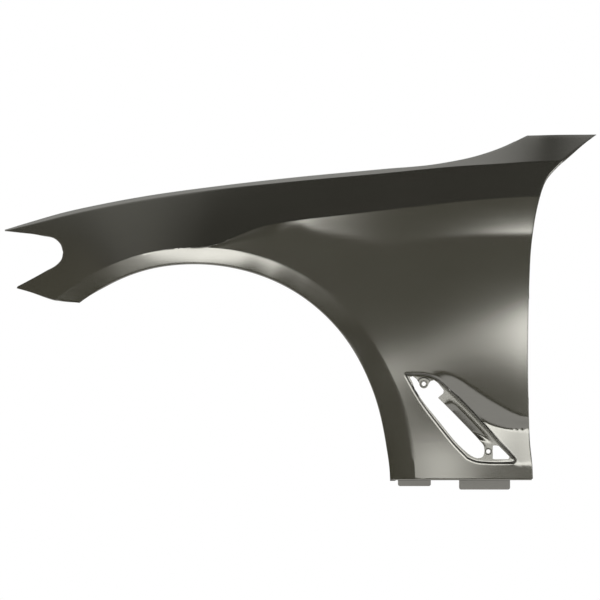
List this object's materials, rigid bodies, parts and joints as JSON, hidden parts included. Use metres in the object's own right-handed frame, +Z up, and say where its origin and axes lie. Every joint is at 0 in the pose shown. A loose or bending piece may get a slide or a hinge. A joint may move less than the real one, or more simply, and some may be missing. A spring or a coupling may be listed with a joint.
{
  "type": "car fender",
  "caption": "Pressed left front wing panel of a large saloon, with wheel arch, headlamp notch, slanted side vent opening, folded edges and bolt pads, bare in dark satin primer.",
  "frame": {"origin": "bearing point under the middle bolt pad of the bonnet edge, where the panel rests on the wing rail", "axes": "+X runs rearwards along the car, +Y inboard, +Z up; the outer skin faces -Y"},
  "size_m": [1.1121, 0.258, 0.6677],
  "materials": {
    "primer": "dark warm grey satin primer on bare pressed aluminium sheet"
  },
  "bodies": {
    "root": {"fender_panel": "primer"}
  },
  "joints": []
}
